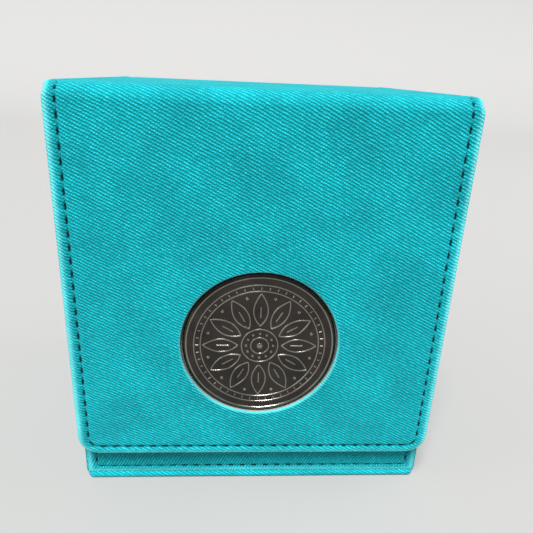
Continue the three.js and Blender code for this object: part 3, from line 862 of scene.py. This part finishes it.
# The front wall's rows end where the corners begin. The other walls, the foot and the rim are rows round
# the tray, which meet the front wall's rows point for point.
front = np.vstack(tray.points)
side_heights = np.unique(front[np.abs(front[:, 0] + TRAY_FLAT) < 1e-6, 1].round(6))
foot_places = np.unique(front[np.abs(front[:, 1] - WALL_LOW) < 1e-6, 0].round(6))
rim_places = np.unique(front[np.abs(front[:, 1] - WALL_HIGH) < 1e-6, 0].round(6))
laps = np.cumsum([TRAY_FLAT, *TRAY_LAPS[1:]])
steps = [CORNER_LENGTH / 4, COARSE] * 4
walls = [stations(*lap) for lap in zip(laps, laps[1:], steps)]
walls = np.unique(np.concatenate(walls).round(6))


def add_tray_rows(places, rows):
    """Rows round the tray, upwards from the first: each a height, how far it stands out of the wall, its
    place on the cloth and how far it is painted paler, partly for wear and partly as painted sheen."""
    tray.join_all([tray.add_line(places, *row) for row in rows])


add_tray_rows(walls, [(height, 0.0, height, 0.0) for height in side_heights])
turns = np.radians(np.linspace(0, 90, 6))
foot = [(-TRAY_WALL, BASE_TOP, -3.7), (-1.7, BASE_TOP, -2.1), (-1.3, 1.68, -1.7), (-1.0, 1.4, -1.4)]
for a in turns[::-1]:
    foot.append((TRAY_FOOT * math.cos(a) - TRAY_FOOT, WALL_LOW - TRAY_FOOT * math.sin(a), -TRAY_FOOT * a))
foot = [(height, out, WALL_LOW + on_cloth) for out, height, on_cloth in foot]
# The foot is painted a little paler: partly wear, partly painted sheen.
add_tray_rows(np.append(foot_places, walls[1:]), [(*row, 0.3) for row in foot])
outer = [(WALL_HIGH, -TRAY_RIM_OUTER) + TRAY_RIM_OUTER * np.array([math.sin(a), math.cos(a)]) for a in turns]
rim_middle = (TRAY_HIGH.z - TRAY_RIM_INNER, TRAY_RIM_INNER - TRAY_WALL)
inner = [rim_middle + TRAY_RIM_INNER * np.array([math.cos(a), -math.sin(a)]) for a in turns]
hem_rows = [(height, -TRAY_WALL) for height in np.linspace(TRAY_HIGH.z - 2.2, TRAY_HIGH.z - TRAY_HEM, 4)]
rim = np.array([*outer, *inner, *hem_rows])
on_cloth = WALL_HIGH + np.append(0.0, np.cumsum(np.linalg.norm(np.diff(rim, axis=0), axis=1)))
# The rim is painted paler where it turns over: partly wear, partly painted sheen.
rim_wear_and_sheen = 0.9 * np.exp(-(((on_cloth - WALL_HIGH - 2.4) / 1.6) ** 2))
rim = [(*row, place, edge_wear_and_sheen) for row, place, edge_wear_and_sheen in zip(rim, on_cloth, rim_wear_and_sheen)]
add_tray_rows(np.append(rim_places, walls[1:]), rim)
tray_cloth = cloth_material("tray_cloth", math.pi / 2)
tray_skin = tray.make("tray_skin", fold_up_tray, tray_cloth, SKIN)
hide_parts("tray_fabric")
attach(tray_skin, "case")
sew("tray_stitches", tray.line, fold_up_tray, "tray_stitching", "case")

# ---------------------------------------------------------------------------------------------------------
# The cover is one length of cloth over three boards. It runs from the flap's free edge up the flap, over
# the front fold, the lid and the rear fold, and down the back panel, which is glued behind the tray.

SIDE_INSET, END_INSET = 2.5, 2.1
FACE_ROWS = (1.25, 1.5, 1.72, 1.92, 2.08, 2.22, 2.36, 2.5, 2.64, 2.78, 2.94, 3.12, 3.36, 3.7, 4.2, 5.0)
HALF, PANEL = (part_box("flap_fabric")[1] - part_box("flap_fabric")[0]).xy * 1000
HALF = HALF / 2
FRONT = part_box("flap_fabric")[0].y * 1000
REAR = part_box("back_fabric")[1].y * 1000
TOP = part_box("lid_fabric")[1].z * 1000
FOLD_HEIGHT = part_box("flap_fabric")[1].z * 1000
FLAP_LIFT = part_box("flap_fabric")[0].z * 1000
BACK_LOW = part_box("back_fabric")[0].z * 1000
FOLD_RADIUS = TOP - FOLD_HEIGHT
FOLD_LENGTH = FOLD_RADIUS * math.pi / 2
FLAP_END = FOLD_HEIGHT - FLAP_LIFT
LID_START = FLAP_END + FOLD_LENGTH
LID_END = LID_START + REAR - FRONT - 2 * FOLD_RADIUS
BACK_START = LID_END + FOLD_LENGTH
BACK_END = BACK_START + FOLD_HEIGHT - BACK_LOW
BACK_CORNER = 1.5
COVER_PROUD = 0.4
COVER_CLOTH = cloth_material("cover_cloth")


def fold_up_cover(points):
    """Cover pattern to the box: up the flap, round the folds, over the lid and down the back."""
    x, s, h = points.T
    front_turn = np.clip((s - FLAP_END) / FOLD_RADIUS, 0, math.pi / 2)
    rear_turn = np.clip((s - LID_END) / FOLD_RADIUS, 0, math.pi / 2)
    reach = FOLD_RADIUS + h
    front_y = FRONT + FOLD_RADIUS - reach * np.cos(front_turn) + np.clip(s - LID_START, 0, None)
    front_z = FOLD_HEIGHT + reach * np.sin(front_turn) + np.clip(s - FLAP_END, None, 0)
    rear_y = REAR - FOLD_RADIUS + reach * np.sin(rear_turn)
    rear_z = FOLD_HEIGHT + reach * np.cos(rear_turn) - np.clip(s - BACK_START, 0, None)
    behind = s > LID_END
    y, z = np.where(behind, rear_y, front_y), np.where(behind, rear_z, front_z)
    return np.column_stack([x, y, z]) / 1000


def back_flat(flat):
    """The back is patterned upwards from its free edge, so on the cloth it lies the other way round."""
    return (0, BACK_END) - flat


def fold_up_back(points):
    """Back pattern to the box."""
    return fold_up_cover(np.column_stack([back_flat(points[:, :2]), points[:, 2]]))


def close_end(pattern, profile, rings, last):
    """Closes a wrapped edge over the board's end, at the first or last station of its rows."""
    inside = int(np.argmin(np.abs(profile[:, 0] - profile[0, 0]) + (profile[:, 1] < -0.01) * 9))
    column = [ring[-1 if last else 0] for ring in rings[: inside + 1]]
    pattern.faces.append([int(n) for n in (column if last else column[::-1])])


finish_nodes(BOARD, "back_board")
edge = edge_profile(PANEL, FACE_ROWS, proud=COVER_PROUD)
back = Panel(HALF, 0, BACK_END - BACK_START, BACK_CORNER, (SIDE_INSET, END_INSET))
back.add_edge(edge)
back_columns = back.add_face()
for last in (False, True):
    close_end(back, edge, back.rings, last)
back_skin = back.make("back_skin", fold_up_back, COVER_CLOTH, SKIN, back_flat)
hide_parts("back_fabric")
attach(back_skin, "case")
sew("back_stitches", back.line, fold_up_back, "back_stitching", "case")


PANEL_LINING = 0.6
BOARD_END = -2.65, -0.5


def fold_up_inside(points, depth):
    """The pattern of a lining, which faces into the box below some depth of cover, to the box."""
    return fold_up_cover(points * (-1, 1, -1) - (0, 0, depth))


def line_panel(name, node, low, high, body, corner, low_fold=False, high_fold=True):
    """The lining of a cover panel, between two places along the cover. It faces into the box. At a fold it
    also covers the board's end, which reaches from one height to another below the lining."""
    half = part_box(node)[1].x * 1000
    sheet = Panel(half, low, high, corner, closed=True, step=SHEET_STEP)
    round_over = PANEL_LINING * 0.45
    sheet.add_edge(edge_profile(PANEL_LINING, (0.8, 2.0), 2.5, round_over, round_over))
    sheet.add_face(SHEET_CELL)
    places = stations(-half, half, SHEET_CELL)
    for s, reach, wanted in ((low, BOARD_END, low_fold), (high, BOARD_END[::-1], high_fold)):
        if wanted:
            sheet.join_all([sheet.add_line(places, s, h) for h in reach])
    piece = sheet.make(name, lambda p: fold_up_inside(p, PANEL), LINING, PANEL_LINING * 0.8)
    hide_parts(node)
    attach(piece, body)


line_panel("back_sheet", "back_lining", BACK_START, BACK_END - 1.8, "case", 1.0, True, False)

# ---------------------------------------------------------------------------------------------------------
# Each fold is a strip of the cover's cloth and of its lining with no board between them, and is the hinge
# between two panels. It is made here in its shape at rest. The side stitching runs on over it.

FOLD_HEM = 1.25
FOLD_LINING = 0.6
FOLD_PINCH = 0.35


def sweep(low, high, columns, thickness, stitched_count, pinch=0.0, close=()):
    """A stretch of cover between two of its lines: one section, repeated along the cloth. Its edges can be
    pinched in half way."""
    pattern = Pattern()
    inner = 0.5 if thickness == PANEL else 0.35
    profile = edge_profile(thickness, FACE_ROWS, inner=inner, proud=COVER_PROUD, full=PANEL)
    count = len(profile)
    steps = max(stitched_count * 9, round((high - low) / STEP))
    give = pinch * np.clip(1 - profile[:, 0] / 2, 0, 1)
    rows = []
    # The edges are painted paler: partly wear on the nap, partly painted sheen.
    wear_and_sheen = np.exp(-(((profile[:, 2] - 0.2) / 0.75) ** 2))
    for share in np.linspace(0, 1, steps + 1):
        s = low + (high - low) * share
        along = np.full(count, share * stitched_count)
        off_line = np.abs(profile[:, 0] - SIDE_INSET)
        # sunk darkens the cloth in each stitch's slot as painted shade.
        dip, sunk = stitch_relief(off_line, along)
        dip = dip - pillow(off_line, along) * (profile[:, 0] < SIDE_INSET)
        dip, sunk = dip * (profile[:, 1] == 0), sunk * (profile[:, 1] == 0)
        inset = profile[:, 0] + give * math.sin(math.pi * share) ** 2
        left = np.column_stack([inset - HALF, np.full(count, s), profile[:, 1] - dip])
        middle = np.column_stack([columns, np.full(len(columns), s), 0 * columns])
        flat_left = np.column_stack([profile[:, 2] - HALF, left[:, 1]])
        flat = np.vstack([flat_left, middle[:, :2], flat_left[::-1] * (-1, 1)])
        edge_marks = np.column_stack([wear_and_sheen, sunk])
        marks = np.vstack([edge_marks, np.zeros((len(columns), 2)), edge_marks[::-1]])
        rows.append(pattern.add(np.vstack([left, middle, left[::-1] * (-1, 1, 1)]), flat, marks))
    pattern.join_all(rows)
    inside = int(np.argmin(np.abs(profile[:, 0] - profile[0, 0]) + (profile[:, 1] < -0.01) * 9))
    for end in close:
        row = rows[end]
        for corner in (row[: inside + 1], row[len(row) - inside - 1 :]):
            pattern.faces.append([int(n) for n in (corner if end == 0 else corner[::-1])])
    return pattern


def side_line(side, low, high):
    """The stitch line along one side of a stretch of the cover."""
    along = np.linspace(low, high, 60)
    return np.column_stack([0 * along + side * (HALF - SIDE_INSET), along])


SIDES = (("left", -1), ("right", 1))


def make_fold(name, low, high, columns):
    """A fold's cloth, lining and stitches, made in their shape at rest between two places along the cover.
    """
    count = round((high - low) / STITCH_PITCH)
    strip = sweep(low, high, columns, FOLD_HEM, count, FOLD_PINCH)
    cloth = strip.make(f"{name}_skin", fold_up_cover, COVER_CLOTH, SKIN * 0.6)
    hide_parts(f"{name}_fabric")
    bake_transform(cloth)
    lining = Pattern()
    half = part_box(f"{name}_lining")[1].x * 1000
    places = stations(-half, half, SHEET_CELL)
    lining.join_all([lining.add_line(places, s) for s in np.linspace(low, high, 13)])
    sheet = lining.make(f"{name}_sheet", lambda p: fold_up_inside(p, FOLD_HEM), LINING, FOLD_LINING)
    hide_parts(f"{name}_lining")
    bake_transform(sheet)
    for side, sign in SIDES:
        line = side_line(sign, low, high)
        thread = sew(f"{name}_stitches_{side}", line, fold_up_cover, f"{name}_stitching_{side}")
        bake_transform(thread)


make_fold("rear_fold", LID_END, BACK_START, back_columns)

# ---------------------------------------------------------------------------------------------------------
# The lid is a board in the same cloth, with its lining below and a row of stitches along each side. The
# front fold joins it to the flap.

finish_nodes(BOARD, "lid_board")
lid_count = round((LID_END - LID_START) / STITCH_PITCH)
lid_pattern = sweep(LID_START, LID_END, back_columns, PANEL, lid_count, close=(0, -1))
lid_skin = lid_pattern.make("lid_skin", fold_up_cover, COVER_CLOTH, SKIN)
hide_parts("lid_fabric")
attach(lid_skin, "lid")
for side, sign in SIDES:
    line = side_line(sign, LID_START, LID_END)
    sew(f"lid_stitches_{side}", line, fold_up_cover, f"lid_stitching_{side}", "lid")
line_panel("lid_sheet", "lid_lining", LID_START, LID_END, "lid", 0.3, True, True)

make_fold("front_fold", FLAP_END, LID_START, back_columns)

# ---------------------------------------------------------------------------------------------------------
# The flap hangs down over the tray's front wall and is held shut by two magnets. Its face board has a round
# hole for the medallion, and the cloth is turned in over the hole's lip. A thinner board closes the hole
# from behind.

FLAP_CORNER = 5.0
MEDALLION = [corner * 1000 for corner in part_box("medallion")]
HOLE_RADIUS = (MEDALLION[1].x - MEDALLION[0].x) / 2 + 0.45
HOLE_CENTRE = (MEDALLION[0].z + MEDALLION[1].z) / 2 - FLAP_LIFT
finish_nodes(BOARD, "flap_face_board", "flap_backing_board")
finish_nodes(NICKEL, "flap_magnet_left", "flap_magnet_right")
flap = Panel(HALF, 0, FLAP_END, FLAP_CORNER, (SIDE_INSET, END_INSET))
flap.add_edge(edge)
flap.add_face(hole=(HOLE_CENTRE, HOLE_RADIUS, 1.9))
for last in (False, True):
    close_end(flap, edge, flap.rings, last)
flap_skin = flap.make("flap_skin", fold_up_cover, COVER_CLOTH, SKIN)
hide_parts("flap_fabric")
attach(flap_skin, "flap")
sew("flap_stitches", flap.line, fold_up_cover, "flap_stitching", "flap")
line_panel("flap_sheet", "flap_lining", 1.8, FLAP_END, "flap", 1.0)

# ---------------------------------------------------------------------------------------------------------
# The medallion is a round blank of polished black nickel, sunk in the flap and held by an adhesive disc.
# It has a thin rim and a rosette of fine raised lines, all of the same black nickel; a paler nickel on them
# is a painted highlight.

COIN_FIELD = -0.1
LINE_WIDTH, LINE_HEIGHT = 0.32, 0.18
OUTER_RING = 16.2


def nickel_material(name, dark, bright, roughness):
    """Polished metal with a faint haze, which a finger leaves."""
    material, tree, shader, place = plain_material(name)
    haze = noise(tree, place, 0.12, 3.0, 0.6)
    hairlines = noise(tree, place, 4.0, 2.0, 0.5)
    colour = mix_colours(tree, haze, dark, bright)
    rough = spread(tree, haze, 0.35, 0.75, roughness, roughness * 2.2)
    look = {"Base Color": colour, "Roughness": rough, "Metallic": 1.0}
    wire(tree, shader, {**look, "Normal": bump(tree, hairlines, 0.002)})
    return material


def adhesive_material():
    """Pale foam tape."""
    material, tree, shader, place = plain_material("foam_adhesive")
    cells = noise(tree, place, 3.5, 3.0, 0.7)
    colour = mix_colours(tree, cells, (0.55, 0.52, 0.43, 1), (0.72, 0.69, 0.6, 1))
    wire(tree, shader, {"Base Color": colour, "Roughness": 0.8, "Normal": bump(tree, cells, 0.05)})
    return material


def rosette_tree():
    """Raised lines on a blank: two rings with bars between them, petals with veins, and a beaded centre."""
    values = {"Petals": 12, "Bars": 48, "Line Width": LINE_WIDTH, "Line Height": LINE_HEIGHT}
    tree, given = geometry_group("rosette", "Blank", values, "Coin")

    def ring(radius):
        inputs = {"Resolution": 112, "Radius": radius}
        return add_node(tree, "GeometryNodeCurvePrimitiveCircle", inputs).outputs["Curve"]

    def bar(start, end):
        inputs = {"Start": (start, 0, 0), "End": (end, 0, 0)}
        return add_node(tree, "GeometryNodeCurvePrimitiveLine", inputs).outputs["Curve"]

    def arc(start, middle, end):
        inputs = {"Resolution": 14, "Start": (*start, 0), "Middle": (*middle, 0), "End": (*end, 0)}
        return add_node(tree, "GeometryNodeCurveQuadraticBezier", inputs).outputs["Curve"]

    def bead(radius, at):
        """A low dome."""
        dome = add_node(tree, "GeometryNodeMeshUVSphere", {"Segments": 10, "Rings": 6, "Radius": radius})
        inputs = {"Geometry": dome.outputs["Mesh"], "Translation": (at, 0, 0), "Scale": (1, 1, 0.45)}
        return add_node(tree, "GeometryNodeTransform", inputs).outputs["Geometry"]

    def join(*parts):
        joined = tree.nodes.new("GeometryNodeJoinGeometry")
        for part in parts:
            tree.links.new(part, joined.inputs["Geometry"])
        return joined.outputs["Geometry"]

    def around(part, count, offset=0.0):
        """Copies of a part, turned evenly about the middle."""
        points = add_node(tree, "GeometryNodePoints", {"Count": count}).outputs["Points"]
        index = add_node(tree, "GeometryNodeInputIndex").outputs["Index"]
        share = maths(tree, "DIVIDE", maths(tree, "ADD", index, offset), count)
        angle = maths(tree, "MULTIPLY", share, 2 * math.pi)
        turn = {"Axis": (0, 0, 1), "Angle": angle}
        turn = add_node(tree, "FunctionNodeAxisAngleToRotation", turn).outputs["Rotation"]
        copies = {"Points": points, "Instance": part, "Rotation": turn}
        copies = add_node(tree, "GeometryNodeInstanceOnPoints", copies).outputs["Instances"]
        return add_node(tree, "GeometryNodeRealizeInstances", {"Geometry": copies}).outputs["Geometry"]

    petals, bars = given["Petals"], given["Bars"]
    petal = join(arc((5.4, 0), (9.2, 3.5), (14.0, 0)), arc((14.0, 0), (9.2, -3.5), (5.4, 0)))
    lines = join(
        ring(OUTER_RING),
        ring(OUTER_RING - 1.6),
        ring(4.5),
        ring(2.2),
        around(bar(OUTER_RING - 1.15, OUTER_RING - 0.45), bars),
        around(petal, petals),
        around(bar(7.6, 10.6), petals),
    )
    lines = add_node(tree, "GeometryNodeSetCurveNormal", {"Curve": lines}, mode="Z_UP").outputs["Curve"]
    section = add_node(tree, "GeometryNodeCurvePrimitiveCircle", {"Resolution": 8, "Radius": 0.5})
    scale = {"X": given["Line Width"], "Y": given["Line Height"], "Z": 1.0}
    scale = add_node(tree, "ShaderNodeCombineXYZ", scale).outputs["Vector"]
    section = {"Geometry": section.outputs["Curve"], "Scale": scale}
    section = add_node(tree, "GeometryNodeTransform", section).outputs["Geometry"]
    ridges = {"Curve": lines, "Profile Curve": section, "Fill Caps": True}
    ridges = add_node(tree, "GeometryNodeCurveToMesh", ridges).outputs["Mesh"]
    beads = join(around(bead(0.42, 13.1), petals, 0.5), around(bead(0.34, 3.35), petals), bead(0.8, 0.0))
    relief = {"Geometry": join(ridges, beads), "Translation": (0, 0, COIN_FIELD)}
    relief = add_node(tree, "GeometryNodeTransform", relief).outputs["Geometry"]
    relief = add_node(tree, "GeometryNodeRealizeInstances", {"Geometry": relief}).outputs["Geometry"]
    relief = {"Geometry": relief, "Material": given["Finish"]}
    relief = add_node(tree, "GeometryNodeSetMaterial", relief).outputs["Geometry"]
    tree.links.new(join(given["Blank"], relief), tree.nodes.new("NodeGroupOutput").inputs["Coin"])
    return tree


def make_medallion():
    """The blank with its bevel and ridge, and the rosette on its field."""
    half, _, thickness, fold_up = lay_on("medallion", (1, 0, 0), UP)
    turns = np.radians(np.arange(0, 360, 2.5))
    circle = np.column_stack([np.cos(turns), np.sin(turns)])
    back_edge = [(half - 0.3, -thickness), (half, 0.3 - thickness)]
    bevel = [(half, -0.42), (half - 0.12, -0.32), (half - 0.76, -0.04)]
    ridge = [(half - 0.84, 0.0), (half - 1.0, 0.0), (half - 1.1, COIN_FIELD)]
    blank = Pattern()
    rows = []
    middle = [(radius, COIN_FIELD) for radius in (16.0, 10.0, 4.0)]
    for radius, height in (*back_edge, *bevel, *ridge, *middle):
        rows.append(blank.add(np.column_stack([circle * radius, np.full(len(circle), height)])))
    blank.join_all(rows, closed=True)
    for row, reach in ((rows[0], -thickness), (rows[-1], COIN_FIELD)):
        middle = int(blank.add([(0, 0, reach)])[0])
        following = np.roll(row, -1)
        pairs = zip(following, row) if row is rows[0] else zip(row, following)
        blank.faces += [[int(a), int(b), middle] for a, b in pairs]
    field = nickel_material("black_nickel", (0.022, 0.02, 0.018, 1), (0.075, 0.068, 0.06, 1), 0.08)
    # The rim's ridge and the rosette are the same metal as the field; this paler nickel on them is a painted
    # highlight.
    bright = nickel_material("nickel_painted_highlight", (0.17, 0.155, 0.135, 1), (0.34, 0.315, 0.27, 1), 0.16)
    coin = blank.make("medallion_coin", lambda points: points, field)
    coin.data.materials.append(bright)
    middles = np.array([face.center for face in coin.data.polygons])
    reach = np.linalg.norm(middles[:, :2], axis=1)
    on_rim = (reach > half - 1.08) & (reach < half - 0.78)
    coin.data.polygons.foreach_set("material_index", on_rim.astype(int))
    grow(coin, rosette_tree(), Finish=bright)
    fold_mesh(coin.data, fold_up, (0, half, 0))
    coin.data.set_sharp_from_angle(angle=math.radians(35))
    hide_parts("medallion")
    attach(coin, "flap")


make_medallion()
finish_nodes(adhesive_material(), "medallion_adhesive")

# ---------------------------------------------------------------------------------------------------------
# The floor is plain and pale, and sweeps up behind the box. One broad, soft light comes from high in
# front, with a weak lamp at each side.

floor_mesh = bpy.data.meshes.new("floor")
sweep_up = [(y, 1 - math.sqrt(1 - (y - 1) ** 2)) for y in np.linspace(1, 2, 33)]
floor_rows = [(x, y, z) for y, z in [(-3, 0), *sweep_up, (2, 3)] for x in (-3, 3)]
floor_faces = [(i, i + 1, i + 3, i + 2) for i in range(0, len(floor_rows) - 2, 2)]
floor_mesh.from_pydata(floor_rows, [], floor_faces)
floor_mesh.polygons.foreach_set("use_smooth", [True] * len(floor_faces))
floor = new_object("floor", floor_mesh)
floor_finish, floor_tree, floor_shader, _ = plain_material("pale_floor")
wire(floor_tree, floor_shader, {"Base Color": (0.3, 0.297, 0.29, 1), "Roughness": 0.8})
floor_mesh.materials.append(floor_finish)


def soft_lamp(name, place, power):
    """A round lamp that shines on the box from one side."""
    lamp = new_object(name, bpy.data.lights.new(name, "AREA"))
    lamp.data.shape = "DISK"
    lamp.data.size = 0.5
    lamp.data.energy = power
    lamp.location = place
    lamp.rotation_euler = (Vector((0, 0, 0.05)) - Vector(place)).to_track_quat("-Z", "Y").to_euler()


key_lamp = new_object("key_lamp", bpy.data.lights.new("key_lamp", "SUN"))
key_lamp.data.angle = 0.42
key_lamp.data.energy = 6.6
key_lamp.rotation_euler = Vector((0.08, 0.45, -0.84)).to_track_quat("-Z", "Y").to_euler()
soft_lamp("left_lamp", (-0.8, -0.2, 0.4), 1.5)
soft_lamp("right_lamp", (0.8, 0.1, 0.5), 1.8)
world = bpy.data.worlds.new("studio")
bpy.context.scene.world = world
world.use_nodes = True
world.node_tree.nodes["Background"].inputs["Color"].default_value = (0.95, 0.96, 1.0, 1)
world.node_tree.nodes["Background"].inputs["Strength"].default_value = 0.36
